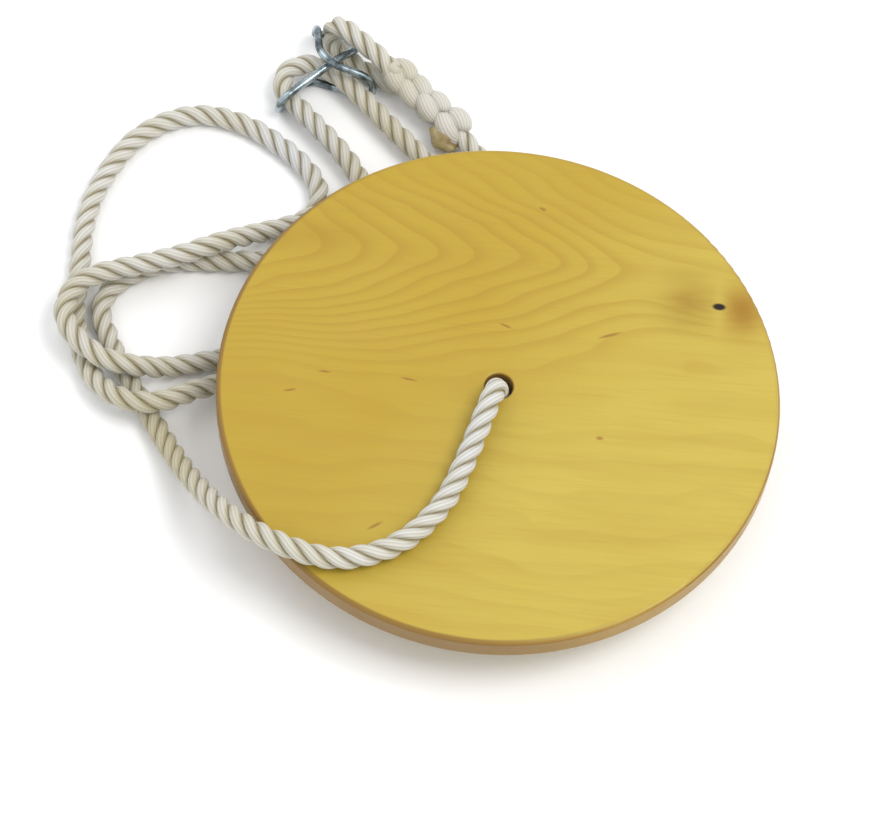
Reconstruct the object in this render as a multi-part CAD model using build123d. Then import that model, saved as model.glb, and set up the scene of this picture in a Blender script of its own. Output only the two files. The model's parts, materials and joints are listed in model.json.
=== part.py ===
from build123d import *
import math
import os

os.makedirs("parts", exist_ok=True)

# A disc swing lying on the floor with its rope coiled beside it.
# Millimetres. +Z is up. The origin is the floor point under the seat's centre hole.
# The rope starts at a stopper knot under the seat, comes up through the hole, runs over the
# seat's front edge, lies in loose turns at the seat's left, passes through a bent wire
# adjuster and comes back to it in a spliced eye.

# Rope
ROPE_DIAMETER = 12.0
ROPE_RADIUS = ROPE_DIAMETER / 2
FLOOR_Z = ROPE_RADIUS              # height of the rope's centre where it lies on the floor

# Seat
SEAT_DIAMETER = 300.0
SEAT_THICKNESS = 15.0
SEAT_HOLE_DIAMETER = 15.0
SEAT_EDGE_ROUND = 2.5
HOLE_EDGE_ROUND = 1.5

# Stopper knot: three turns of rope round a core, and a short end that lies on the floor
KNOT_HEIGHT = 31.7
KNOT_TURN_RADIUS = 9.6             # from the knot's axis to the middle of a turn
KNOT_TURN_THICKNESS = 6.4          # radius of a turn's own section
KNOT_TURNS = 3
KNOT_TAIL = [(-6, -5, 6), (-20, -19, 6), (-30, -35, 6)]

SEAT_CLEARANCE = 0.3               # seat to knot, so that the seat turns freely
SEAT_BOTTOM_Z = KNOT_HEIGHT + SEAT_CLEARANCE

# Wire adjuster
WIRE_DIAMETER = 4.5
WIRE_CLEARANCE = 0.3               # wire to the rope that slides through it
RING_RADIUS = ROPE_RADIUS + WIRE_DIAMETER / 2 + WIRE_CLEARANCE
WIRE_LOW_Z = WIRE_DIAMETER / 2 + 0.05

# The adjuster slides along this line, towards the seat. Beside it, a place is given as its
# distance along the slide and its distance across it, both from the origin.
SLIDE_DIRECTION = Vector(1, -1, 0).normalized()
ACROSS_SLIDE = Vector(1, 1, 0).normalized()
LEG_Z = 11.0                       # the two rope legs lie on the wire's lower arms
NEAR_LEG = 44.5                    # the legs' distances across the slide
FAR_LEG = 77.1

# Splice: a straight core from the eye towards the seat, with rows of tucked strands round it.
# A row is given by its distance from the core's start and its radius.
SPLICE_ROWS = [(0.0, 10.2), (12.6, 9.4), (27.6, 9.8), (45.6, 11.3)]
SPLICE_CORE_RADIUS = 7.6

SMALLEST_OPEN_BEND = 3 * ROPE_DIAMETER


def beside_slide(along, across, height):
    place = SLIDE_DIRECTION * along + ACROSS_SLIDE * across
    return (place.X, place.Y, height)


def halfway(first, second):
    return tuple((a + b) / 2 for a, b in zip(first, second))


# The rope's route, point by point, from the knot.
OVER_SEAT = [
    (0, 0, KNOT_HEIGHT), (0, 0, 49.5), (-4, -14, 58), (-13, -46, 53.5), (-23, -77, 53.5),
    (-44, -103, 53.5), (-75, -115, 53.5), (-105.5, -109, 55.5), (-134, -90.5, 45),
]
FIRST_TURN = [
    (-157, -61, 23), (-175, -32, 8), (-190, -9, 6), (-204, 11, 6), (-215, 31, 6),
    (-222, 47, 6), (-218, 62, 6), (-204, 75, 6), (-185, 83.5, 6), (-160, 85.5, 6),
    (-134, 88.5, 6),
]
FIRST_BEND_UNDER_SEAT = [
    (-107, 94, 6), (-82, 81.5, 6), (-69, 57, 6), (-72.5, 29.5, 6), (-92, 9.5, 6),
    (-119.5, 5, 6), (-145, 9, 8),
]
LARGE_TURN = [
    (-164, -0.5, 12), (-180, -14, 18.9), (-199, -14.5, 18.8), (-215, -3, 12), (-225, 13, 6.5),
    (-232, 31, 6), (-236, 53, 6), (-236, 76, 6), (-238, 102, 6), (-233, 130, 6),
    (-217, 164, 6), (-188, 183, 6), (-158, 180, 6), (-131, 164, 6), (-112, 146, 6),
    (-107.5, 129, 6), (-114, 117, 6),
]
TOP_TURN = [
    (-130, 110, 6), (-147, 100, 12), (-162, 88.5, 20), (-179, 79.5, 20), (-200, 71.5, 19),
    (-220, 65, 19), (-234, 56.5, 18.8), (-239.5, 43.5, 18.8), (-238, 30.5, 19.8),
    (-229, 19, 20.5), (-214, 9, 20.8), (-199, 7, 19.6), (-182, 13.5, 8), (-163, 20, 6),
]
SECOND_BEND_UNDER_SEAT = [
    (-142, 27, 6), (-121, 40, 10), (-104, 57, 19), (-92, 80, 20.8), (-85, 104, 14),
    (-81, 128, 8), (-88, 149, 9),
]
THROUGH_ADJUSTER = [
    beside_slide(-190, NEAR_LEG + 0.2, LEG_Z),
    beside_slide(-210, NEAR_LEG - 0.2, LEG_Z),
    beside_slide(-226, NEAR_LEG + 0.2, LEG_Z),
    beside_slide(-237.5, 44.3, LEG_Z),
    beside_slide(-246.5, 51.5, LEG_Z),
    beside_slide(-247, 63, LEG_Z),
    beside_slide(-238, 72.5, LEG_Z),
    beside_slide(-225, FAR_LEG - 0.5, LEG_Z),
    beside_slide(-205, FAR_LEG + 0.2, LEG_Z),
    beside_slide(-182, FAR_LEG - 0.2, LEG_Z),
    beside_slide(-158, FAR_LEG + 0.4, LEG_Z),
    beside_slide(-133, 79.5, 8),
]
THIRD_BEND_UNDER_SEAT = [
    (-12, 127, 6), (9, 100, 6), (25, 72, 6), (34, 41, 6), (37, 7, 6), (38, -28, 6),
    (51.5, -49, 6), (74, -60, 6), (99, -57.5, 6), (119, -42.5, 6),
]
SLACK_UNDER_SEAT = [
    (135.5, 0.5, 6), (129.5, 34, 6), (105, 61, 6), (74, 82, 6), (45, 103, 6),
    beside_slide(-68, 103.8, 6), beside_slide(-105, 103.2, 6),
]
LEAD_TO_SPLICE = [beside_slide(-128, 103.8, 7.5), beside_slide(-150, 104, 11)]
SPLICE_START = beside_slide(-203.0, 101.3, 13.0)
SPLICE_END = beside_slide(-157.5, 104.4, 11.6)
EYE = [
    beside_slide(-204, 98.7, 7.5), beside_slide(-216, 93.8, 6.5),
    beside_slide(-231, 89.6, 6.5), beside_slide(-245.5, 88.8, 6.5),
    beside_slide(-251.3, 91.2, 15.8), beside_slide(-245.5, 93.5, 25),
    beside_slide(-230, 95, 25.5), beside_slide(-216, 97.5, 23.2),
    beside_slide(-204, 98.5, 20),
]

# The rope is cut into three solids in the middle of two runs, both under the seat.
SLACK_START = halfway(THIRD_BEND_UNDER_SEAT[-1], SLACK_UNDER_SEAT[0])
LEAD_START = halfway(SLACK_UNDER_SEAT[-1], LEAD_TO_SPLICE[0])
MAIN_ROUTE = (OVER_SEAT + FIRST_TURN + FIRST_BEND_UNDER_SEAT + LARGE_TURN + TOP_TURN
              + SECOND_BEND_UNDER_SEAT + THROUGH_ADJUSTER + THIRD_BEND_UNDER_SEAT
              + [SLACK_START])
SLACK_ROUTE = [SLACK_START] + SLACK_UNDER_SEAT + [LEAD_START]
LEAD_ROUTE = [LEAD_START] + LEAD_TO_SPLICE

# The wire in one piece: near ring, bar over the eye's lower leg, through the eye and round
# its end, back over the crossing, far ring, and home under both legs.
NEAR_RING_SIDE = NEAR_LEG - RING_RADIUS
FAR_RING_SIDE = FAR_LEG + RING_RADIUS
RING_TOP_Z = LEG_Z + RING_RADIUS + 0.1
WIRE_ROUTE = [
    beside_slide(-239.5, 57.5, WIRE_LOW_Z),
    beside_slide(-232.5, NEAR_RING_SIDE, WIRE_LOW_Z),
    beside_slide(-229, NEAR_RING_SIDE, RING_TOP_Z),
    beside_slide(-230.5, 79, 20.5),
    beside_slide(-231.5, 92.5, 15.6),
    beside_slide(-236, 102, 8),
    beside_slide(-247, 101.5, WIRE_LOW_Z),
    beside_slide(-257, 95, WIRE_LOW_Z),
    beside_slide(-260, 86.5, 4.5),
    beside_slide(-257, 85.4, 18),
    beside_slide(-232, 67.5, 27.6),
    beside_slide(-207, FAR_RING_SIDE, RING_TOP_Z + 1.2),
    beside_slide(-206.5, FAR_RING_SIDE, WIRE_LOW_Z),
    beside_slide(-237.5, 66, WIRE_LOW_Z),
    beside_slide(-239.5, 58.2, WIRE_LOW_Z),
]


def bend_radii(route):
    """The largest radius at each inner point that leaves a tenth of each run straight."""
    radii = []
    for before, corner, after in zip(route, route[1:], route[2:]):
        arriving = Vector(*corner) - Vector(*before)
        leaving = Vector(*after) - Vector(*corner)
        half_turn = math.radians(arriving.get_angle(leaving)) / 2
        radii.append(0.45 * min(arriving.length, leaving.length) / math.tan(half_turn))
    return radii


def tube(name, route, diameter):
    """A round bar along straight runs joined by tangent arcs."""
    radii = bend_radii(route)
    path = FilletPolyline(*route, radius=radii)
    section = Plane(origin=path @ 0, z_dir=path % 0) * Circle(diameter / 2)
    solid = sweep(section, path=path)
    expected = math.pi * (diameter / 2) ** 2 * path.length
    print(name, "length", round(path.length, 1), "volume ratio",
          round(solid.volume / expected, 4))
    tight = [round(radius, 1) for radius in radii if radius < SMALLEST_OPEN_BEND]
    print("  radii", round(min(radii), 1), "to", round(max(radii), 1), "tight", tight)
    return solid


def bar_between(start, end, radius):
    """A straight round bar from one place to another."""
    run = Vector(*end) - Vector(*start)
    plane = Plane(origin=start, z_dir=run)
    return plane * Cylinder(radius, run.length, align=(Align.CENTER, Align.CENTER, Align.MIN))


def make_seat():
    """Plywood disc with a rounded rim and one rounded hole in the middle."""
    stand_up = (Align.CENTER, Align.CENTER, Align.MIN)
    disc = Cylinder(SEAT_DIAMETER / 2, SEAT_THICKNESS, align=stand_up)
    hole = Cylinder(SEAT_HOLE_DIAMETER / 2, SEAT_THICKNESS, align=stand_up)
    board = disc - hole
    hole_edges = board.edges().filter_by(GeomType.CIRCLE).sort_by(SortBy.RADIUS)[:2]
    board = fillet(hole_edges, HOLE_EDGE_ROUND)
    outer_edges = board.edges().filter_by(GeomType.CIRCLE).sort_by(SortBy.RADIUS)[-2:]
    board = fillet(outer_edges, SEAT_EDGE_ROUND)
    return Pos(0, 0, SEAT_BOTTOM_Z) * board


def make_knot():
    """Stopper knot as round turns stacked on a core, with its short end on the floor."""
    knot = bar_between((0, 0, 1), (0, 0, KNOT_HEIGHT), ROPE_RADIUS + 1)
    lowest = KNOT_TURN_THICKNESS
    spacing = (KNOT_HEIGHT - 2 * KNOT_TURN_THICKNESS) / (KNOT_TURNS - 1)
    for turn in range(KNOT_TURNS):
        height = lowest + turn * spacing
        knot += Pos(0, 0, height) * Torus(KNOT_TURN_RADIUS, KNOT_TURN_THICKNESS)
    return knot + tube("knot tail", KNOT_TAIL, ROPE_DIAMETER)


def make_splice():
    """Core of the splice with its rows of tucks, turned as one round piece."""
    core = Vector(*SPLICE_END) - Vector(*SPLICE_START)
    profile = Pos(core.length / 2, 0) * Rectangle(core.length, 2 * SPLICE_CORE_RADIUS)
    for distance, radius in SPLICE_ROWS:
        profile += Pos(distance, 0) * Circle(radius)
    reach = max(radius for _, radius in SPLICE_ROWS)
    upper_half = Pos(core.length / 2, reach) * Rectangle(core.length + 4 * reach, 2 * reach)
    splice = revolve(profile & upper_half, axis=Axis.X)
    plane = Plane(origin=SPLICE_START, x_dir=core, z_dir=core.cross(Vector(0, 0, 1)))
    return plane.location * splice


seat_disc = make_seat()
stopper_knot = make_knot()
rope_main = tube("rope_main", MAIN_ROUTE, ROPE_DIAMETER)
rope_slack = tube("rope_slack", SLACK_ROUTE, ROPE_DIAMETER)
eye_lead = tube("eye_lead", LEAD_ROUTE, ROPE_DIAMETER)
rope_eye = tube("rope_eye", EYE, ROPE_DIAMETER)
eye_splice = make_splice()
rope_adjuster = tube("rope_adjuster", WIRE_ROUTE, WIRE_DIAMETER)

NODES = {
    "seat_disc": seat_disc,
    "stopper_knot": stopper_knot,
    "rope_main": rope_main,
    "rope_slack": rope_slack,
    "eye_lead": eye_lead,
    "eye_splice": eye_splice,
    "rope_eye": rope_eye,
    "rope_adjuster": rope_adjuster,
}
for name, solid in NODES.items():
    export_step(solid, "parts/" + name + ".step")
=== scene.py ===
import json
import math

import bpy
import numpy as np
from mathutils import Matrix, Vector


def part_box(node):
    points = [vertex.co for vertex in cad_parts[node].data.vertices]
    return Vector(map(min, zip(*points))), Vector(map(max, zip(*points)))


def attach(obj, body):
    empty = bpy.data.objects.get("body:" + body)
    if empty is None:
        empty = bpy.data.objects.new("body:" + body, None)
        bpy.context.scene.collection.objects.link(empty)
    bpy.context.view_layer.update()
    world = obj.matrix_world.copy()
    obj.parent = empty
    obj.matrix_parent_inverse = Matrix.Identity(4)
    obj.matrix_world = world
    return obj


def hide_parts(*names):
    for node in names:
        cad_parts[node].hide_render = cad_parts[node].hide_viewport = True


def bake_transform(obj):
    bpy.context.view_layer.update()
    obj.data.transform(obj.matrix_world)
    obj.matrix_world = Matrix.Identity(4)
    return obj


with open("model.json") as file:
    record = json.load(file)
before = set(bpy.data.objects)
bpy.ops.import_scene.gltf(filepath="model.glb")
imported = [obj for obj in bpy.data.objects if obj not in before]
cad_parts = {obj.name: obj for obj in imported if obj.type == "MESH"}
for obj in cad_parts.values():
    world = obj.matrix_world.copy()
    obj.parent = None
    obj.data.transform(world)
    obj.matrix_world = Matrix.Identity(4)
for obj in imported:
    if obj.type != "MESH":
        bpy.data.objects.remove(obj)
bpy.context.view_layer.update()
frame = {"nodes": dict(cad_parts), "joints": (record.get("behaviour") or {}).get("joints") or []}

# ---------------------------------------------------------------------------
# Sizes, in metres
# ---------------------------------------------------------------------------
MM = 0.001
ROPE_DIAMETER = 12 * MM
ROPE_RADIUS = ROPE_DIAMETER / 2
STRAND_RADIUS = 3.05 * MM
STRAND_OFFSET = ROPE_RADIUS - STRAND_RADIUS    # from the rope's middle to a strand's middle
STRANDS = 3
LAY_LENGTH = 33 * MM                           # rope length for one turn of a strand
STEP_ALONG = 1.3 * MM                          # spacing of the rings of a strand's mesh
RING_POINTS = 14
YARNS = 9                                      # yarns that show round one strand
YARN_TURN = 21 * MM                            # rope length for one turn of a yarn

seat_low, seat_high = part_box("seat_disc")
SEAT_RADIUS = (seat_high.x - seat_low.x) / 2
_, knot_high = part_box("stopper_knot")
KNOT_TOP = knot_high.z

# The adjuster's slide, from the record, and the direction across it.
slide_joint = next(j for j in frame["joints"] if j["name"] == "adjuster_slide")
SLIDE_DIRECTION = Vector(slide_joint["axis"]).normalized()
ACROSS_SLIDE = Vector((-SLIDE_DIRECTION.y, SLIDE_DIRECTION.x, 0))


# ---------------------------------------------------------------------------
# The rope's route, the same points as in the part's source
# ---------------------------------------------------------------------------
def beside_slide(along, across, height):
    """A place beside the slide, from millimetres along it and across it."""
    place = SLIDE_DIRECTION * along + ACROSS_SLIDE * across
    return (place.x, place.y, height)


def halfway(first, second):
    return tuple((a + b) / 2 for a, b in zip(first, second))


def in_metres(points):
    return [Vector(point) * MM for point in points]


LEG_Z = 11.0
NEAR_LEG = 44.5
FAR_LEG = 77.1

OVER_SEAT = [
    (0, 0, KNOT_TOP / MM), (0, 0, 49.5), (-4, -14, 58), (-13, -46, 53.5), (-23, -77, 53.5),
    (-44, -103, 53.5), (-75, -115, 53.5), (-105.5, -109, 55.5), (-134, -90.5, 45),
]
FIRST_TURN = [
    (-157, -61, 23), (-175, -32, 8), (-190, -9, 6), (-204, 11, 6), (-215, 31, 6),
    (-222, 47, 6), (-218, 62, 6), (-204, 75, 6), (-185, 83.5, 6), (-160, 85.5, 6),
    (-134, 88.5, 6),
]
FIRST_BEND_UNDER_SEAT = [
    (-107, 94, 6), (-82, 81.5, 6), (-69, 57, 6), (-72.5, 29.5, 6), (-92, 9.5, 6),
    (-119.5, 5, 6), (-145, 9, 8),
]
LARGE_TURN = [
    (-164, -0.5, 12), (-180, -14, 18.9), (-199, -14.5, 18.8), (-215, -3, 12), (-225, 13, 6.5),
    (-232, 31, 6), (-236, 53, 6), (-236, 76, 6), (-238, 102, 6), (-233, 130, 6),
    (-217, 164, 6), (-188, 183, 6), (-158, 180, 6), (-131, 164, 6), (-112, 146, 6),
    (-107.5, 129, 6), (-114, 117, 6),
]
TOP_TURN = [
    (-130, 110, 6), (-147, 100, 12), (-162, 88.5, 20), (-179, 79.5, 20), (-200, 71.5, 19),
    (-220, 65, 19), (-234, 56.5, 18.8), (-239.5, 43.5, 18.8), (-238, 30.5, 19.8),
    (-229, 19, 20.5), (-214, 9, 20.8), (-199, 7, 19.6), (-182, 13.5, 8), (-163, 20, 6),
]
SECOND_BEND_UNDER_SEAT = [
    (-142, 27, 6), (-121, 40, 10), (-104, 57, 19), (-92, 80, 20.8), (-85, 104, 14),
    (-81, 128, 8), (-88, 149, 9),
]
THROUGH_ADJUSTER = [
    beside_slide(-190, NEAR_LEG + 0.2, LEG_Z),
    beside_slide(-210, NEAR_LEG - 0.2, LEG_Z),
    beside_slide(-226, NEAR_LEG + 0.2, LEG_Z),
    beside_slide(-237.5, 44.3, LEG_Z),
    beside_slide(-246.5, 51.5, LEG_Z),
    beside_slide(-247, 63, LEG_Z),
    beside_slide(-238, 72.5, LEG_Z),
    beside_slide(-225, FAR_LEG - 0.5, LEG_Z),
    beside_slide(-205, FAR_LEG + 0.2, LEG_Z),
    beside_slide(-182, FAR_LEG - 0.2, LEG_Z),
    beside_slide(-158, FAR_LEG + 0.4, LEG_Z),
    beside_slide(-133, 79.5, 8),
]
THIRD_BEND_UNDER_SEAT = [
    (-12, 127, 6), (9, 100, 6), (25, 72, 6), (34, 41, 6), (37, 7, 6), (38, -28, 6),
    (51.5, -49, 6), (74, -60, 6), (99, -57.5, 6), (119, -42.5, 6),
]
SLACK_UNDER_SEAT = [
    (135.5, 0.5, 6), (129.5, 34, 6), (105, 61, 6), (74, 82, 6), (45, 103, 6),
    beside_slide(-68, 103.8, 6), beside_slide(-105, 103.2, 6),
]
LEAD_TO_SPLICE = [beside_slide(-128, 103.8, 7.5), beside_slide(-150, 104, 11)]
THROUGH_SPLICE = [beside_slide(-172, 104.2, 11.3), beside_slide(-190, 103, 10)]
EYE = [
    beside_slide(-204, 98.7, 7.5), beside_slide(-216, 93.8, 6.5),
    beside_slide(-231, 89.6, 6.5), beside_slide(-245.5, 88.8, 6.5),
    beside_slide(-251.3, 91.2, 15.8), beside_slide(-245.5, 93.5, 25),
    beside_slide(-230, 95, 25.5), beside_slide(-216, 97.5, 23.2),
    beside_slide(-204, 98.5, 20),
]
SLACK_START = halfway(THIRD_BEND_UNDER_SEAT[-1], SLACK_UNDER_SEAT[0])
MAIN_ROUTE = (OVER_SEAT + FIRST_TURN + FIRST_BEND_UNDER_SEAT + LARGE_TURN + TOP_TURN
              + SECOND_BEND_UNDER_SEAT + THROUGH_ADJUSTER + THIRD_BEND_UNDER_SEAT
              + [SLACK_START])
ADJUSTABLE_ROUTE = [SLACK_START] + SLACK_UNDER_SEAT + LEAD_TO_SPLICE + THROUGH_SPLICE + EYE

# Splice rows, from the eye to the seat: along, across, height and radius in millimetres.
SPLICE_ROWS = [
    (-202.0, 101.3, 14.5, 11.4),
    (-188.8, 102.3, 12.8, 10.6),
    (-174.4, 103.3, 12.2, 10.8),
    (-157.5, 104.4, 11.8, 11.8),
]


# ---------------------------------------------------------------------------
# Camera, floor and lights
# ---------------------------------------------------------------------------
CAMERA_PLACE = Vector((-27.4, -775.5, 1437.1)) * MM
CAMERA_PITCH = math.radians(61.4)              # below the horizon
CAMERA_ROLL = math.radians(5.25)
CAMERA_LENS = 121.35                           # millimetres, on a sensor 36 mm wide
FLOOR_SIZE = 12.0
FLOOR_COLOUR = (0.93, 0.93, 0.93, 1)
SKY_COLOUR = (0.97, 0.98, 1.0, 1)
SKY_STRENGTH = 0.95
# name, place (m), side of its square (m), power (W), colour
LIGHTS = [
    ("key", (1.1, -0.2, 2.3), 1.2, 30, (1.0, 0.98, 0.95)),
    ("fill", (-1.5, 1.1, 1.9), 1.6, 9, (0.94, 0.97, 1.0)),
]


def make_camera():
    forward = Vector((0, math.cos(CAMERA_PITCH), -math.sin(CAMERA_PITCH)))
    level_right = Vector((1, 0, 0))
    level_up = level_right.cross(forward)
    right = level_right * math.cos(CAMERA_ROLL) + level_up * math.sin(CAMERA_ROLL)
    up = right.cross(forward)
    turn = Matrix((right, up, -forward)).transposed()
    data = bpy.data.cameras.new("camera")
    data.sensor_width = 36
    data.lens = CAMERA_LENS
    camera = bpy.data.objects.new("camera", data)
    camera.matrix_world = Matrix.Translation(CAMERA_PLACE) @ turn.to_4x4()
    bpy.context.scene.collection.objects.link(camera)
    bpy.context.scene.camera = camera


def add_light(name, place, size, power, tint):
    """A square area light that points at the middle of the floor."""
    data = bpy.data.lights.new(name, "AREA")
    data.shape = "SQUARE"
    data.size = size
    data.energy = power
    data.color = tint
    light = bpy.data.objects.new(name, data)
    light.location = place
    to_middle = Vector((0, 0, 0)) - Vector(place)
    light.rotation_euler = to_middle.to_track_quat("-Z", "Y").to_euler()
    bpy.context.scene.collection.objects.link(light)


def make_studio():
    half = FLOOR_SIZE / 2
    corners = [(-half, -half, 0), (half, -half, 0), (half, half, 0), (-half, half, 0)]
    mesh = bpy.data.meshes.new("floor")
    mesh.from_pydata(corners, [], [(0, 1, 2, 3)])
    floor = bpy.data.objects.new("floor", mesh)
    bpy.context.scene.collection.objects.link(floor)
    material = bpy.data.materials.new("pale_floor")
    material.use_nodes = True
    shader = material.node_tree.nodes["Principled BSDF"]
    shader.inputs["Base Color"].default_value = FLOOR_COLOUR
    shader.inputs["Roughness"].default_value = 0.85
    mesh.materials.append(material)

    world = bpy.data.worlds.new("studio")
    bpy.context.scene.world = world
    world.use_nodes = True
    background = world.node_tree.nodes["Background"]
    background.inputs["Color"].default_value = SKY_COLOUR
    background.inputs["Strength"].default_value = SKY_STRENGTH
    for light in LIGHTS:
        add_light(*light)
    bpy.context.scene.view_settings.view_transform = "Standard"


# ---------------------------------------------------------------------------
# Node helpers
# ---------------------------------------------------------------------------
class Shade:
    """Builds one node material. Its helpers take output sockets or plain values."""

    def __init__(self, name):
        self.material = bpy.data.materials.new(name)
        self.material.use_nodes = True
        self.tree = self.material.node_tree
        self.shader = self.tree.nodes["Principled BSDF"]

    def node(self, kind, **settings):
        new = self.tree.nodes.new(kind)
        for key, value in settings.items():
            setattr(new, key, value)
        return new

    def feed(self, socket, value):
        if isinstance(value, bpy.types.NodeSocket):
            self.tree.links.new(value, socket)
        else:
            socket.default_value = value

    def calculate(self, operation, first, second=0.0, third=0.0):
        new = self.node("ShaderNodeMath", operation=operation)
        for socket, value in zip(new.inputs, (first, second, third)):
            self.feed(socket, value)
        return new.outputs[0]

    def add(self, first, second):
        return self.calculate("ADD", first, second)

    def subtract(self, first, second):
        return self.calculate("SUBTRACT", first, second)

    def times(self, first, second):
        return self.calculate("MULTIPLY", first, second)

    def divide(self, first, second):
        return self.calculate("DIVIDE", first, second)

    def sum_of_squares(self, first, second):
        return self.add(self.times(first, first), self.times(second, second))

    def distance(self, x, y):
        return self.calculate("SQRT", self.sum_of_squares(x, y))

    def hill(self, x, y, centre, half_sizes):
        """A smooth hill, 1 at its centre, that falls away over its half sizes."""
        across = self.divide(self.subtract(x, centre[0]), half_sizes[0])
        along = self.divide(self.subtract(y, centre[1]), half_sizes[1])
        return self.calculate("EXPONENT", self.times(self.sum_of_squares(across, along), -1.0))

    def turned_hill(self, x, y, mark):
        """A narrow hill whose long side lies at an angle."""
        centre_x, centre_y, half_length, half_width, degrees = mark
        cosine = math.cos(math.radians(degrees))
        sine = math.sin(math.radians(degrees))
        offset_x = self.subtract(x, centre_x)
        offset_y = self.subtract(y, centre_y)
        long_way = self.add(self.times(offset_x, cosine), self.times(offset_y, sine))
        short_way = self.subtract(self.times(offset_y, cosine), self.times(offset_x, sine))
        return self.hill(long_way, short_way, (0.0, 0.0), (half_length, half_width))

    def noise(self, vector, scale, detail=3.0, roughness=0.5):
        new = self.node("ShaderNodeTexNoise")
        self.feed(new.inputs["Vector"], vector)
        self.feed(new.inputs["Scale"], scale)
        self.feed(new.inputs["Detail"], detail)
        self.feed(new.inputs["Roughness"], roughness)
        return new.outputs["Fac"]

    def vector(self, x, y, z):
        new = self.node("ShaderNodeCombineXYZ")
        for socket, value in zip(new.inputs, (x, y, z)):
            self.feed(socket, value)
        return new.outputs[0]

    def parts(self, vector):
        new = self.node("ShaderNodeSeparateXYZ")
        self.feed(new.inputs[0], vector)
        return new.outputs[0], new.outputs[1], new.outputs[2]

    def remap(self, value, from_low, from_high, to_low=0.0, to_high=1.0):
        new = self.node("ShaderNodeMapRange", clamp=True, interpolation_type="SMOOTHSTEP")
        for socket, number in zip(new.inputs, (value, from_low, from_high, to_low, to_high)):
            self.feed(socket, number)
        return new.outputs[0]

    def mix(self, factor, first, second):
        """A colour between two; a Mix node's colour sockets come after its other kinds."""
        new = self.node("ShaderNodeMix", data_type="RGBA")
        self.feed(new.inputs[0], factor)
        self.feed(new.inputs[6], first)
        self.feed(new.inputs[7], second)
        return new.outputs[2]

    def bump(self, height, distance, strength=1.0, normal=None):
        new = self.node("ShaderNodeBump")
        self.feed(new.inputs["Height"], height)
        self.feed(new.inputs["Distance"], distance)
        self.feed(new.inputs["Strength"], strength)
        if normal is not None:
            self.feed(new.inputs["Normal"], normal)
        return new.outputs[0]

    def attribute(self, name):
        return self.node("ShaderNodeAttribute", attribute_name=name).outputs["Fac"]

    def object_place(self):
        return self.node("ShaderNodeTexCoord").outputs["Object"]


def colour(red, green, blue):
    return (red, green, blue, 1.0)


# ---------------------------------------------------------------------------
# Rope
# ---------------------------------------------------------------------------
SPLINE_ORDER = 3
SPLINE_STEPS = 16                              # points of the line for each control point


def smooth_line(name, points):
    """The line of a NURBS spline that has these points as its control points."""
    curve = bpy.data.curves.new(name, "CURVE")
    curve.dimensions = "3D"
    spline = curve.splines.new("NURBS")
    spline.points.add(len(points) - 1)
    for target, point in zip(spline.points, points):
        target.co = (*point, 1)
    spline.order_u = SPLINE_ORDER
    spline.use_endpoint_u = True
    spline.resolution_u = SPLINE_STEPS
    holder = bpy.data.objects.new(name, curve)
    mesh = bpy.data.meshes.new_from_object(holder)
    line = [vertex.co.copy() for vertex in mesh.vertices]
    bpy.data.objects.remove(holder)
    bpy.data.curves.remove(curve)
    bpy.data.meshes.remove(mesh)
    return line


def evenly_spaced(line, step):
    """The same line with its points an equal distance apart."""
    places = np.array(line)
    runs = np.linalg.norm(np.diff(places, axis=0), axis=1)
    distances = np.concatenate([[0], np.cumsum(runs)])
    count = max(2, round(distances[-1] / step) + 1)
    wanted = np.linspace(0, distances[-1], count)
    columns = [np.interp(wanted, distances, places[:, axis]) for axis in range(3)]
    return np.stack(columns, axis=1), wanted


def carried_frames(places):
    """Two directions across a line at each of its points, carried along without twist."""
    tangents = np.gradient(places, axis=0)
    tangents /= np.linalg.norm(tangents, axis=1)[:, None]
    start = Vector(tangents[0])
    across = start.orthogonal().normalized()
    firsts = []
    for index, tangent in enumerate(tangents):
        if index:
            turn = Vector(tangents[index - 1]).rotation_difference(Vector(tangent))
            across = turn @ across
            across = (across - Vector(tangent) * across.dot(Vector(tangent))).normalized()
        firsts.append(np.array(across))
    firsts = np.array(firsts)
    return firsts, np.cross(tangents, firsts)


def tube_rings(places, radii):
    """Rings of points round a line, with one radius or one for each point."""
    firsts, seconds = carried_frames(places)
    angles = np.linspace(0, 2 * math.pi, RING_POINTS, endpoint=False)
    radii = np.broadcast_to(radii, (len(places),))
    circle = (np.cos(angles)[None, :, None] * firsts[:, None, :]
              + np.sin(angles)[None, :, None] * seconds[:, None, :])
    return places[:, None, :] + circle * radii[:, None, None]


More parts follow.
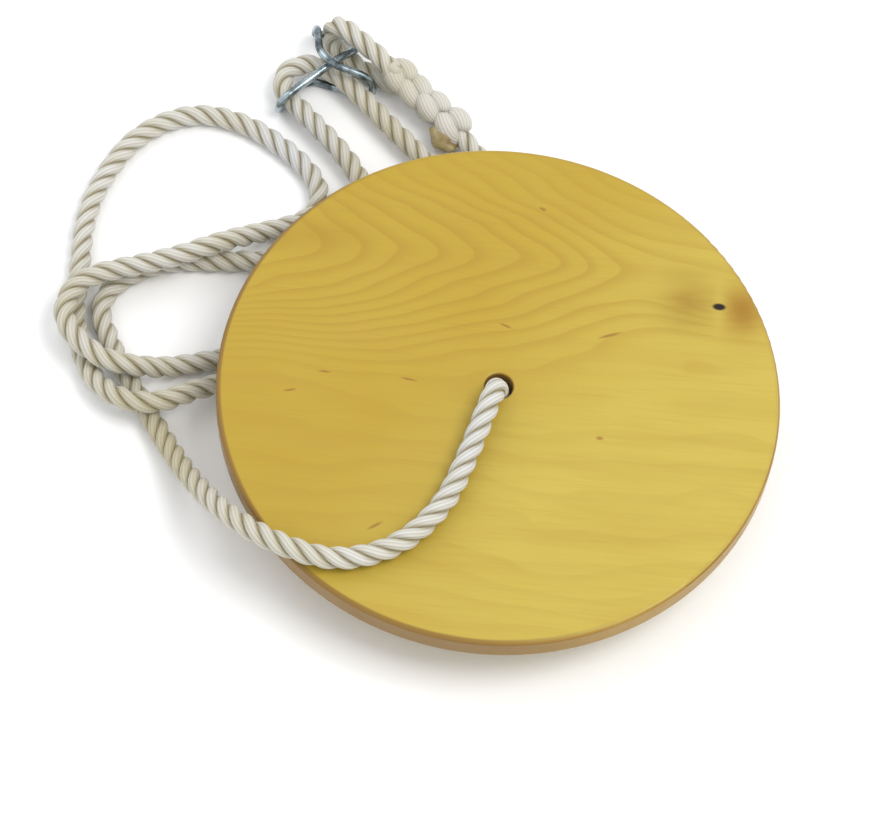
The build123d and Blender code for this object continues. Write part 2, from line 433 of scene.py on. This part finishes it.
class Bundle:
    """Collects tubes into one mesh, with a map of round and along for each."""

    def __init__(self):
        self.points = []
        self.faces = []
        self.map = []
        self.depth = []

    def add_tube(self, rings, distances, depths, yarn_sets=1):
        """A tube with closed ends; the map goes yarn_sets times round it."""
        base = len(self.points)
        count, around, _ = rings.shape
        self.points += [tuple(point) for point in rings.reshape(-1, 3)]
        self.depth += list(depths.reshape(-1))
        for ring in range(count - 1):
            for step in range(around):
                after = (step + 1) % around
                low = base + ring * around
                high = low + around
                self.faces.append((low + step, low + after, high + after, high + step))
                left = yarn_sets * step / around
                right = yarn_sets * (step + 1) / around
                bottom = distances[ring]
                top = distances[ring + 1]
                self.map += [(left, bottom), (right, bottom), (right, top), (left, top)]
        for ring, backwards in ((0, True), (count - 1, False)):
            start = base + ring * around
            face = list(range(start, start + around))
            if backwards:
                face.reverse()
            self.faces.append(tuple(face))
            self.map += [(0.0, distances[ring])] * around

    def build(self, name, material):
        mesh = bpy.data.meshes.new(name)
        mesh.from_pydata(self.points, [], self.faces)
        layer = mesh.uv_layers.new(name="round_and_along")
        layer.data.foreach_set("uv", np.array(self.map, np.float32).reshape(-1))
        depth = mesh.attributes.new("groove_shade", "FLOAT", "POINT")
        depth.data.foreach_set("value", np.array(self.depth, np.float32))
        mesh.polygons.foreach_set("use_smooth", [True] * len(mesh.polygons))
        mesh.materials.append(material)
        piece = bpy.data.objects.new(name, mesh)
        bpy.context.scene.collection.objects.link(piece)
        return piece


GROOVE_REACH = 0.45                            # the painted groove shade reaches this far in, of the radius


def add_strands(bundle, line, start_direction=None, size=1.0):
    """Three strands laid round a line; returns the first strand's direction at the far end."""
    places, distances = evenly_spaced(line, STEP_ALONG)
    firsts, seconds = carried_frames(places)
    start_angle = 0.0
    if start_direction is not None:
        start_angle = math.atan2(start_direction.dot(Vector(seconds[0])),
                                 start_direction.dot(Vector(firsts[0])))
    for strand in range(STRANDS):
        angle = (start_angle + strand * 2 * math.pi / STRANDS
                 + distances / LAY_LENGTH * 2 * math.pi)
        outward = np.cos(angle)[:, None] * firsts + np.sin(angle)[:, None] * seconds
        middle = places + outward * STRAND_OFFSET * size
        rings = tube_rings(middle, STRAND_RADIUS * size)
        # How deep each point lies between the strands, for the painted groove shade.
        reach = np.linalg.norm(rings - places[:, None, :], axis=2) / (ROPE_RADIUS * size)
        groove_shade = np.clip((1.0 - reach) / GROOVE_REACH, 0, 1)
        bundle.add_tube(rings, distances, groove_shade)
        if strand == 0:
            end_direction = Vector(outward[-1])
    return end_direction


ROPE_TINT = colour(0.625, 0.615, 0.575)
ROPE_YELLOWED = colour(0.55, 0.53, 0.43)
ROPE_FUZZ = colour(0.72, 0.715, 0.70)
ROPE_SHADOW = colour(0.26, 0.215, 0.10)
DARK_OLIVE = colour(0.40, 0.345, 0.185)
PAINTED_COOL_HIGHLIGHT = colour(0.60, 0.63, 0.69)
# Where the rope is darker olive, and where a painted cool highlight lies on it: centre, reach
# (m), strength, colour
OLIVE_AND_HIGHLIGHT_PLACES = [
    ((-0.180, -0.040), 0.050, 0.75, DARK_OLIVE),
    ((-0.240, 0.045), 0.035, 0.45, DARK_OLIVE),
    ((-0.085, 0.165), 0.045, 0.55, DARK_OLIVE),
    ((-0.125, 0.160), 0.028, 0.70, PAINTED_COOL_HIGHLIGHT),
    ((-0.010, -0.040), 0.045, 0.35, PAINTED_COOL_HIGHLIGHT),
]


def rope_material():
    """Off-white twisted fibre: yarns along each strand, with painted shade, darker and warmer,
    between the yarns and in the grooves.
    """
    shade = Shade("rope_fibre")
    uv = shade.node("ShaderNodeUVMap", uv_map="round_and_along").outputs[0]
    around, along, _ = shade.parts(uv)
    turns = shade.divide(along, YARN_TURN)
    phase = shade.subtract(shade.times(around, float(YARNS)), turns)
    wave = shade.calculate("SINE", shade.times(phase, 2 * math.pi))
    yarns = shade.remap(wave, -1.0, 0.6)
    place = shade.object_place()
    fibres = shade.noise(place, 1800.0, 4.0, 0.6)
    patches = shade.noise(place, 26.0, 3.0, 0.55)
    groove_shade_mask = shade.remap(shade.attribute("groove_shade"), 0.02, 0.75)

    base = shade.mix(shade.remap(patches, 0.35, 0.7), ROPE_TINT, ROPE_YELLOWED)
    x, y, _ = shade.parts(place)
    # Darker olive places, and painted cool highlights.
    for centre, reach, strength, colour_shift in OLIVE_AND_HIGHLIGHT_PLACES:
        amount = shade.times(shade.hill(x, y, centre, (reach, reach)), strength)
        base = shade.mix(amount, base, colour_shift)
    base = shade.mix(shade.remap(fibres, 0.3, 0.75, 0.0, 0.22), base, ROPE_FUZZ)
    # Painted shade between the yarns and, stronger, in the grooves between strands.
    base = shade.mix(shade.remap(yarns, 0.0, 1.0, 0.28, 0.0), base, ROPE_SHADOW)
    base = shade.mix(shade.times(groove_shade_mask, 0.9), base, ROPE_SHADOW)
    shade.feed(shade.shader.inputs["Base Color"], base)

    rough = shade.remap(fibres, 0.2, 0.8, 0.5, 0.72)
    shade.feed(shade.shader.inputs["Roughness"], rough)
    shade.shader.inputs["Sheen Weight"].default_value = 0.25
    shade.shader.inputs["Sheen Roughness"].default_value = 0.4
    shade.shader.inputs["Specular IOR Level"].default_value = 0.35
    coarse = shade.bump(yarns, 0.16 * MM)
    fine = shade.bump(fibres, 0.05 * MM, 0.8, coarse)
    shade.feed(shade.shader.inputs["Normal"], fine)
    return shade.material


def make_main_rope(material):
    """The fixed stretch, from the knot to the slack under the seat."""
    line = smooth_line("main_route", in_metres(MAIN_ROUTE))
    bundle = Bundle()
    end_direction = add_strands(bundle, line)
    piece = bundle.build("rope_from_knot_to_slack", material)
    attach(piece, "rope")
    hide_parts("rope_main")
    return end_direction


def make_adjustable_rope(material, start_direction):
    """The stretch that follows the adjuster: slack, lead, splice core and eye."""
    line = smooth_line("adjustable_route", in_metres(ADJUSTABLE_ROUTE))
    bundle = Bundle()
    add_strands(bundle, line, start_direction)
    piece = bundle.build("rope_from_slack_to_eye", material)
    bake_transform(piece)
    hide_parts("rope_slack", "eye_lead", "rope_eye")


# ---------------------------------------------------------------------------
# Stopper knot
# ---------------------------------------------------------------------------
KNOT_ROPE_SIZE = 0.86                          # the rope is squeezed in the pulled-up knot
KNOT_WRAP_RADIUS = 10.5                        # millimetres, to the wrapping rope's middle
KNOT_WRAPS = 2.35
KNOT_POINTS_PER_TURN = 12
KNOT_WRAP_TOP = 26.0
KNOT_WRAP_BOTTOM = 5.6
KNOT_LAST_ANGLE = math.radians(137)            # where the wraps meet the tail
KNOT_START_SHARE = 0.45                        # of the wrap radius, where the wraps begin
KNOT_OPENING = 0.28                            # more of it at each point after that
KNOT_CORE = [(0, 0, 31), (0.3, 0.2, 24), (-0.3, 0.1, 15), (0, 0, 5.5)]
KNOT_TAIL = [(-15, -2, 5.6), (-22, -10, 6), (-27, -21, 6), (-30, -34, 6)]


def knot_route():
    """Down from the hole, round the core from the top to the floor, and out to the end."""
    steps = round(KNOT_WRAPS * KNOT_POINTS_PER_TURN)
    points = [(0, 0, KNOT_TOP / MM), (1.5, 0.5, 29)]
    for step in range(steps + 1):
        part = step / steps
        angle = KNOT_LAST_ANGLE - (1 - part) * KNOT_WRAPS * 2 * math.pi
        height = KNOT_WRAP_TOP + (KNOT_WRAP_BOTTOM - KNOT_WRAP_TOP) * part
        radius = KNOT_WRAP_RADIUS * min(1.0, KNOT_START_SHARE + step * KNOT_OPENING)
        points.append((radius * math.cos(angle), radius * math.sin(angle), height))
    return points + KNOT_TAIL


def make_knot(material):
    bundle = Bundle()
    add_strands(bundle, smooth_line("knot_route", in_metres(knot_route())),
                size=KNOT_ROPE_SIZE)
    add_strands(bundle, smooth_line("knot_core", in_metres(KNOT_CORE)), size=KNOT_ROPE_SIZE)
    piece = bundle.build("stopper_knot_rope", material)
    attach(piece, "rope")
    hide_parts("stopper_knot")


# ---------------------------------------------------------------------------
# Eye splice
# ---------------------------------------------------------------------------
TUCK_SHARE = 0.52                              # a tuck's fattest radius, as a share of its row's
TUCK_END_RADIUS = 2.4                          # millimetres
TUCK_END_OFFSET = 2.6                          # from the rope's middle to a tuck's ends
TUCK_STEP = 0.8                                # spacing of the rings of a tuck's mesh
TUCK_LENGTH = 15.0
TUCK_SWEEP = math.radians(-62)                 # tucks cross the rope's own lay
TUCK_POINTS = 13
TUCK_START = math.radians(34)                  # where the first tuck of a row stands
ROW_SWAY = math.radians(7)                     # rows stand this much to one side and the other
EYE_STRAND_START = math.radians(80)            # where the eye's first strand enters the splice
# Offsets from the rope's middle, then radii, at the four points of an entering strand
EYE_STRAND_OFFSETS = (3.0, 3.1, 2.8, 2.4)
EYE_STRAND_RADII = (3.05, 3.05, 2.8, 2.2)
EYE_STRAND_OVERLAP = 3                         # back into the eye, and on into the splice


def row_frames():
    """Centre, direction along the rope and two directions across it for each splice row."""
    centres = [Vector(beside_slide(along, across, height))
               for along, across, height, _ in SPLICE_ROWS]
    frames = []
    for index, centre in enumerate(centres):
        before = centres[max(index - 1, 0)]
        after = centres[min(index + 1, len(centres) - 1)]
        along = (after - before).normalized()
        sideways = along.cross(Vector((0, 0, 1))).normalized()
        frames.append((centre, along, sideways, sideways.cross(along)))
    return frames


def tuck_line(frame_of_row, radius, angle):
    """A strand that comes up out of the rope, over its neighbour and back in."""
    centre, along, sideways, upward = frame_of_row
    points = []
    radii = []
    fattest = radius * TUCK_SHARE
    for step in range(TUCK_POINTS):
        part = step / (TUCK_POINTS - 1)
        rise = math.sqrt(1 - (2 * part - 1) ** 2)
        turn = angle + (part - 0.5) * TUCK_SWEEP
        distance = TUCK_END_OFFSET + (radius - fattest - TUCK_END_OFFSET) * rise
        place = (centre + along * (part - 0.5) * TUCK_LENGTH
                 + (sideways * math.cos(turn) + upward * math.sin(turn)) * distance)
        points.append(place * MM)
        radii.append((TUCK_END_RADIUS + (fattest - TUCK_END_RADIUS) * rise) * MM)
    return points, radii


def add_single_strand(bundle, points, radii):
    line = smooth_line("strand", points)
    places, distances = evenly_spaced(line, TUCK_STEP * MM)
    known = np.linspace(0, distances[-1], len(radii))
    widths = np.interp(distances, known, radii)
    rings = tube_rings(places, widths)
    bundle.add_tube(rings, distances, np.zeros(rings.shape[:2]), yarn_sets=2)


def add_eye_strands(bundle, first_row):
    """The three strands of the eye's leg, on their way into the splice's first row."""
    leg_end = Vector(EYE[-1])
    leg_direction = (Vector(EYE[-1]) - Vector(EYE[-2])).normalized()
    row_centre, _, sideways, upward = first_row
    middles = [leg_end - leg_direction * EYE_STRAND_OVERLAP, leg_end,
               leg_end + leg_direction * EYE_STRAND_OVERLAP, row_centre]
    for strand in range(STRANDS):
        angle = strand * 2 * math.pi / STRANDS + EYE_STRAND_START
        outward = sideways * math.cos(angle) + upward * math.sin(angle)
        points = [(middle + outward * offset) * MM
                  for middle, offset in zip(middles, EYE_STRAND_OFFSETS)]
        add_single_strand(bundle, points, [radius * MM for radius in EYE_STRAND_RADII])


def make_splice(material):
    """Four rows of three tucks, and the eye's strands on their way into them."""
    bundle = Bundle()
    frames = row_frames()
    for index, (row, (_, _, _, radius)) in enumerate(zip(frames, SPLICE_ROWS)):
        for strand in range(STRANDS):
            angle = TUCK_START + ROW_SWAY * (-1) ** index + strand * 2 * math.pi / STRANDS
            points, radii = tuck_line(row, radius, angle)
            add_single_strand(bundle, points, radii)
    add_eye_strands(bundle, frames[0])
    piece = bundle.build("eye_splice_tucks", material)
    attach(piece, "adjuster")
    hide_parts("eye_splice")
    return piece


MELTED_HALF_SIZES = (9.2, 7.0, 6.8)            # along, sideways and upward, in millimetres
MELTED_MIDDLE = (1.0, 8.6, -1.6)               # the same ways, from the last row's centre
MELTED_ROWS = 20
MELTED_COLUMNS = 28


def melted_point(polar, around):
    """A point of a rippled ball of radius 1."""
    ripple = (1 + 0.07 * math.sin(3 * around + 2.1 * polar)
              + 0.05 * math.sin(5 * polar + around))
    return Vector((math.cos(polar), math.sin(polar) * math.cos(around),
                   math.sin(polar) * math.sin(around))) * ripple


def make_melted_ends(material):
    """The last row's strand ends, melted into one tan lump."""
    centre, along, sideways, upward = row_frames()[-1]
    axes = (along, sideways, upward)
    middle = centre + sum((axis * shift for axis, shift in zip(axes, MELTED_MIDDLE)), Vector())
    vertices = []
    for row in range(MELTED_ROWS + 1):
        polar = math.pi * row / MELTED_ROWS
        for column in range(MELTED_COLUMNS):
            local = melted_point(polar, 2 * math.pi * column / MELTED_COLUMNS)
            vertex = middle.copy()
            for axis, part, half_size in zip(axes, local, MELTED_HALF_SIZES):
                vertex += axis * part * half_size
            vertices.append(vertex * MM)
    faces = []
    for row in range(MELTED_ROWS):
        for column in range(MELTED_COLUMNS):
            after = (column + 1) % MELTED_COLUMNS
            low = row * MELTED_COLUMNS
            high = low + MELTED_COLUMNS
            faces.append((low + column, low + after, high + after, high + column))
    mesh = bpy.data.meshes.new("melted_strand_ends")
    mesh.from_pydata(vertices, [], faces)
    mesh.validate()
    mesh.polygons.foreach_set("use_smooth", [True] * len(mesh.polygons))
    mesh.materials.append(material)
    piece = bpy.data.objects.new("melted_strand_ends", mesh)
    bpy.context.scene.collection.objects.link(piece)
    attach(piece, "adjuster")
    return piece


MELTED_TAN = colour(0.42, 0.34, 0.17)
MELTED_BROWN = colour(0.27, 0.20, 0.08)
MELTED_SPOTS = colour(0.18, 0.12, 0.045)


def melted_material():
    """Tan, slightly glassy fibre with darker spots."""
    shade = Shade("melted_fibre")
    place = shade.object_place()
    spots = shade.noise(place, 420.0, 4.0, 0.6)
    broad = shade.noise(place, 130.0, 2.0, 0.5)
    base = shade.mix(shade.remap(broad, 0.35, 0.65), MELTED_TAN, MELTED_BROWN)
    base = shade.mix(shade.remap(spots, 0.5, 0.75, 0.0, 0.6), base, MELTED_SPOTS)
    shade.feed(shade.shader.inputs["Base Color"], base)
    shade.feed(shade.shader.inputs["Roughness"], shade.remap(spots, 0.3, 0.7, 0.32, 0.55))
    shade.feed(shade.shader.inputs["Normal"], shade.bump(spots, 0.35 * MM))
    return shade.material


# ---------------------------------------------------------------------------
# Wire adjuster
# ---------------------------------------------------------------------------
ZINC_BRIGHT = colour(0.40, 0.48, 0.51)
ZINC_DARK_REFLECTION = colour(0.055, 0.07, 0.075)


def zinc_material():
    """Bright plated steel wire with painted dark reflections in patches, and fine drawing marks.
    """
    shade = Shade("zinc_wire")
    place = shade.object_place()
    patches = shade.noise(place, 110.0, 4.0, 0.6)
    grain = shade.noise(place, 1500.0, 3.0, 0.6)
    # Painted dark reflections: patches of dark base colour between the bright zinc.
    base = shade.mix(shade.remap(patches, 0.35, 0.65), ZINC_BRIGHT, ZINC_DARK_REFLECTION)
    shade.feed(shade.shader.inputs["Base Color"], base)
    shade.shader.inputs["Metallic"].default_value = 1.0
    shade.feed(shade.shader.inputs["Roughness"], shade.remap(patches, 0.3, 0.7, 0.18, 0.36))
    shade.feed(shade.shader.inputs["Normal"], shade.bump(grain, 0.03 * MM, 0.6))
    return shade.material


def dress_cad_node(name, material):
    node = frame["nodes"][name]
    node.data.materials.clear()
    node.data.materials.append(material)


# ---------------------------------------------------------------------------
# Plywood seat
# ---------------------------------------------------------------------------
PLIES = 11
PLY = (seat_high.z - seat_low.z) / PLIES
GLUE_SHARE = 0.16                              # of a ply's height, taken by its glue line
HOLE_RADIUS = 7.5 * MM
# How far inside the seat's edge the rim's colours and the painted edge shade begin and are full
RIM_BAND = (1.3 * MM, 0.9 * MM)
EDGE_SHADE_BAND = (3.2 * MM, 1.8 * MM)
# How far outside the hole's wall the plies and the darker brown reach
BORE_EDGE = 0.2 * MM
HOLE_DARK_EDGE = 0.5 * MM
PIN_KNOT_PLACE = (0.114, 0.061)                # on the seat's face
# Round the pin knot: x and y from its place, half sizes (m)
HALO_SPOT = ((-0.016, 0.002), (0.015, 0.0175))
STAIN_SPOT = ((0.014, -0.001), (0.011, 0.0150))
RAY_SPOT = ((0.001, 0.0), (0.0035, 0.017))
PIN_SPOT = ((0.001, 0.0), (0.0040, 0.0024))
# Small dark mineral marks on the face: x, y, half length, half width (m), angle (degrees)
MARKS = [
    (0.057, 0.037, 0.0075, 0.0011, 22),
    (0.055, -0.026, 0.0022, 0.0013, 0),
    (0.016, 0.113, 0.0024, 0.0011, -20),
    (-0.048, -0.001, 0.0050, 0.0008, -8),
    (-0.058, -0.089, 0.0050, 0.0010, 35),
    (-0.093, -0.001, 0.0035, 0.0008, 0),
    (-0.110, -0.014, 0.0040, 0.0008, 15),
    (0.001, 0.037, 0.0040, 0.0009, -20),
]
# Places where the growth rings bulge: centre, half sizes (m), rings added
BULGES = [
    (PIN_KNOT_PLACE, (0.026, 0.012), 2.2),
    ((-0.130, 0.030), (0.030, 0.030), -1.4),
    ((0.060, -0.090), (0.090, 0.030), 1.0),
]
RINGS_PER_METRE = 55
RING_WANDER = 3.6                              # rings that the noise adds at most
FIGURE_CHANGE = (-0.005, 0.050)                # y where level rings give way to arrows
ARROW_AXIS = 0.080                             # y of the arrow-shaped figure's middle line
ARROW_TIP_ROUND = 0.007
ARROW_SLOPE = 1.8                              # of its rings, back from their tips
ARROW_END = 0.07                               # x beyond which its rings run level
ARROW_END_BLEND = 0.05
ARROW_RINGS_PER_METRE = 52
ARROW_OFFSET = 6.8                             # rings, so that the figure meets the rest
# Places in the arrow-shaped figure: centre, half sizes (m)
ARROW_HEART = ((-0.103, 0.084), (0.024, 0.009))
ARROW_FIELD = ((-0.03, 0.07), (0.14, 0.06))

HONEY = colour(0.425, 0.285, 0.026)
STRAW = colour(0.500, 0.384, 0.064)
BAND_HONEY = colour(0.43, 0.285, 0.036)
LATE_WOOD = colour(0.34, 0.195, 0.016)
FIBRE_BROWN = colour(0.37, 0.235, 0.033)
PALE_PORE = colour(0.60, 0.49, 0.14)
HALO_BROWN = colour(0.31, 0.185, 0.020)
STAIN_ORANGE = colour(0.30, 0.145, 0.010)
RAY_GOLD = colour(0.50, 0.38, 0.07)
PIN_BLACK = colour(0.012, 0.006, 0.002)
MARK_BROWN = colour(0.26, 0.10, 0.020)
LONG_GRAIN_PLY = colour(0.46, 0.28, 0.045)
END_GRAIN_PLY = colour(0.26, 0.13, 0.018)
PLY_FIBRE = colour(0.24, 0.12, 0.018)
PLY_GOLD = colour(0.54, 0.36, 0.075)
GLUE_BROWN = colour(0.14, 0.065, 0.018)
EDGE_SHADE_BROWN = colour(0.23, 0.125, 0.022)
HOLE_DARK_BROWN = colour(0.20, 0.09, 0.02)


def growth_rings(shade, x, y):
    """Ring number at each place: level rings below, arrow-shaped ones in the upper half."""
    place = shade.vector(shade.times(x, 7.0), shade.times(y, 18.0), 0.0)
    wander = shade.noise(place, 1.0, 2.0, 0.45)
    level = shade.times(y, float(RINGS_PER_METRE))

    from_axis = shade.subtract(y, ARROW_AXIS)
    squares = shade.add(shade.times(from_axis, from_axis), ARROW_TIP_ROUND ** 2)
    spread = shade.calculate("SQRT", squares)
    to_end = shade.calculate("SMOOTH_MIN", x, ARROW_END, ARROW_END_BLEND)
    reach = shade.add(to_end, shade.times(spread, ARROW_SLOPE))
    arrows = shade.subtract(ARROW_OFFSET, shade.times(reach, float(ARROW_RINGS_PER_METRE)))

    upper = shade.remap(y, *FIGURE_CHANGE)
    lower = shade.subtract(1.0, upper)
    rings = shade.add(shade.times(arrows, upper), shade.times(level, lower))
    rings = shade.add(rings, shade.times(wander, RING_WANDER))
    for centre, half_sizes, added in BULGES:
        bulge = shade.hill(x, y, centre, half_sizes)
        rings = shade.add(rings, shade.times(bulge, added))
    return rings


def knot_colour(shade, x, y, base, bands):
    """The pin knot over a base colour, with its halo, its stain and its pale rays."""
    knot_x, knot_y = PIN_KNOT_PLACE
    halo, colour_shift, rays, pin = [
        shade.hill(x, y, (knot_x + offset_x, knot_y + offset_y), half_sizes)
        for (offset_x, offset_y), half_sizes in (HALO_SPOT, STAIN_SPOT, RAY_SPOT, PIN_SPOT)
    ]
    rough_edge = shade.remap(bands, 0.3, 0.7, 0.5, 1.0)
    base = shade.mix(shade.times(halo, shade.times(rough_edge, 0.95)), base, HALO_BROWN)
    base = shade.mix(shade.times(colour_shift, 0.9), base, STAIN_ORANGE)
    base = shade.mix(shade.times(rays, 0.55), base, RAY_GOLD)
    return shade.mix(shade.remap(pin, 0.25, 0.7), base, PIN_BLACK)


def face_colour(shade, x, y):
    """Golden birch veneer: figure, bands, fibres, knot and mineral marks."""
    part = shade.calculate("FRACT", growth_rings(shade, x, y))
    late_wood = shade.times(shade.remap(part, 0.35, 0.92), shade.remap(part, 1.0, 0.92))
    fine = shade.vector(shade.times(x, 28.0), shade.times(y, 900.0), 0.3)
    fibres = shade.noise(fine, 1.0, 4.0, 0.6)
    wide = shade.vector(shade.times(x, 9.0), shade.times(y, 60.0), 4.0)
    bands = shade.noise(wide, 1.0, 3.0, 0.55)
    glow = shade.noise(shade.vector(x, y, 0.0), 11.0, 2.0, 0.5)

    # The face is lighter towards the lower right, the lamp's side: painted light, with random
    # tone from the glow noise on top.
    towards_painted_light = shade.subtract(shade.times(x, 0.9), shade.times(y, 0.55))
    painted_light_and_tone = shade.add(shade.remap(towards_painted_light, -0.05, 0.07, 0.0, 0.8),
                          shade.remap(glow, 0.3, 0.7, 0.0, 0.2))
    base = shade.mix(painted_light_and_tone, HONEY, STRAW)
    base = shade.mix(shade.remap(bands, 0.4, 0.72, 0.0, 0.35), base, BAND_HONEY)

    # The arrows' heart is one brown spot, and their rings are the strongest.
    heart = shade.hill(x, y, *ARROW_HEART)
    base = shade.mix(shade.times(heart, 0.4), base, LATE_WOOD)
    figured = shade.hill(x, y, *ARROW_FIELD)
    ring_strength = shade.times(late_wood, shade.remap(figured, 0.0, 0.8, 0.12, 0.38))
    base = shade.mix(ring_strength, base, LATE_WOOD)

    base = shade.mix(shade.remap(fibres, 0.45, 0.8, 0.0, 0.30), base, FIBRE_BROWN)
    base = shade.mix(shade.remap(fibres, 0.18, 0.34, 0.22, 0.0), base, PALE_PORE)
    base = knot_colour(shade, x, y, base, bands)
    for mark in MARKS:
        streak = shade.turned_hill(x, y, mark)
        base = shade.mix(shade.remap(streak, 0.2, 0.9, 0.0, 0.7), base, MARK_BROWN)
    return base, late_wood, fibres


def rim_colour(shade, x, y, z):
    """Stacked plies with crossed grain and dark glue lines, under an orange varnish."""
    level = shade.divide(shade.subtract(z, seat_low.z), PLY)
    number = shade.calculate("FLOOR", level)
    part = shade.calculate("FRACT", level)

    # A ply shows end grain where its fibres run out through the rim.
    crossed = shade.calculate("MODULO", number, 2.0)
    facing_x = shade.calculate("ABSOLUTE", shade.divide(x, shade.distance(x, y)))
    facing_y = shade.subtract(1.0, facing_x)
    end_grain = shade.add(shade.times(crossed, facing_y),
                          shade.times(shade.subtract(1.0, crossed), facing_x))

    angle = shade.calculate("ARCTAN2", y, x)
    around = shade.vector(shade.times(angle, 22.0), shade.times(z, 2600.0), number)
    fibres = shade.noise(around, 1.0, 4.0, 0.6)
    patches = shade.noise(shade.vector(angle, z, number), 3.5, 2.0, 0.5)
    glue = shade.calculate("LESS_THAN", part, GLUE_SHARE)
    base = shade.mix(shade.remap(end_grain, 0.3, 0.9, 0.0, 0.8), LONG_GRAIN_PLY, END_GRAIN_PLY)
    base = shade.mix(shade.remap(fibres, 0.35, 0.75, 0.0, 0.4), base, PLY_FIBRE)
    base = shade.mix(shade.remap(patches, 0.35, 0.7, 0.0, 0.35), base, PLY_GOLD)
    base = shade.mix(shade.times(glue, 0.72), base, GLUE_BROWN)
    return base, glue, fibres


def plywood_material():
    """The face, the rim, the hole's wall and the painted shade on the edge in one material."""
    shade = Shade("varnished_plywood")
    x, y, z = shade.parts(shade.object_place())
    face, late_wood, fibres = face_colour(shade, x, y)
    rim, glue, rim_fibres = rim_colour(shade, x, y, z)

    distance = shade.distance(x, y)
    at_edge = shade.remap(distance, SEAT_RADIUS - RIM_BAND[0], SEAT_RADIUS - RIM_BAND[1])
    in_bore = shade.calculate("LESS_THAN", distance, HOLE_RADIUS + BORE_EDGE)
    near_bore = shade.calculate("LESS_THAN", distance, HOLE_RADIUS + HOLE_DARK_EDGE)
    on_rim = shade.calculate("MAXIMUM", at_edge, in_bore)
    on_face = shade.subtract(1.0, on_rim)
    base = shade.mix(on_rim, face, rim)

    # The edge is darker at the left, away from the lamp: painted shade.
    leftward = shade.add(shade.times(x, -0.86), shade.times(y, -0.5))
    edge_band = shade.remap(distance, SEAT_RADIUS - EDGE_SHADE_BAND[0], SEAT_RADIUS - EDGE_SHADE_BAND[1])
    edge_shade_amount = shade.times(shade.remap(leftward, -0.02, 0.09, 0.15, 0.9), edge_band)
    base = shade.mix(edge_shade_amount, base, EDGE_SHADE_BROWN)
    # The hole's wall and lip are darker brown.
    base = shade.mix(shade.times(near_bore, 0.55), base, HOLE_DARK_BROWN)
    shade.feed(shade.shader.inputs["Base Color"], base)

    uneven = shade.noise(shade.object_place(), 38.0, 3.0, 0.55)
    shade.feed(shade.shader.inputs["Roughness"], shade.remap(uneven, 0.3, 0.7, 0.34, 0.46))
    shade.shader.inputs["Specular IOR Level"].default_value = 0.28
    shade.shader.inputs["Coat Weight"].default_value = 0.12
    shade.shader.inputs["Coat Roughness"].default_value = 0.3
    face_relief = shade.subtract(shade.times(fibres, 0.5), shade.times(late_wood, 0.35))
    rim_relief = shade.subtract(shade.times(rim_fibres, 0.5), glue)
    height = shade.add(shade.times(face_relief, on_face), shade.times(rim_relief, on_rim))
    shade.feed(shade.shader.inputs["Normal"], shade.bump(height, 0.09 * MM, 0.8))
    return shade.material


# ---------------------------------------------------------------------------
# The whole scene
# ---------------------------------------------------------------------------
make_camera()
make_studio()
rope_fibre = rope_material()
strand_direction = make_main_rope(rope_fibre)
splice = make_splice(rope_fibre)
melted = make_melted_ends(melted_material())
make_adjustable_rope(rope_fibre, strand_direction)
make_knot(rope_fibre)
dress_cad_node("seat_disc", plywood_material())
dress_cad_node("rope_adjuster", zinc_material())

bpy.context.view_layer.update()
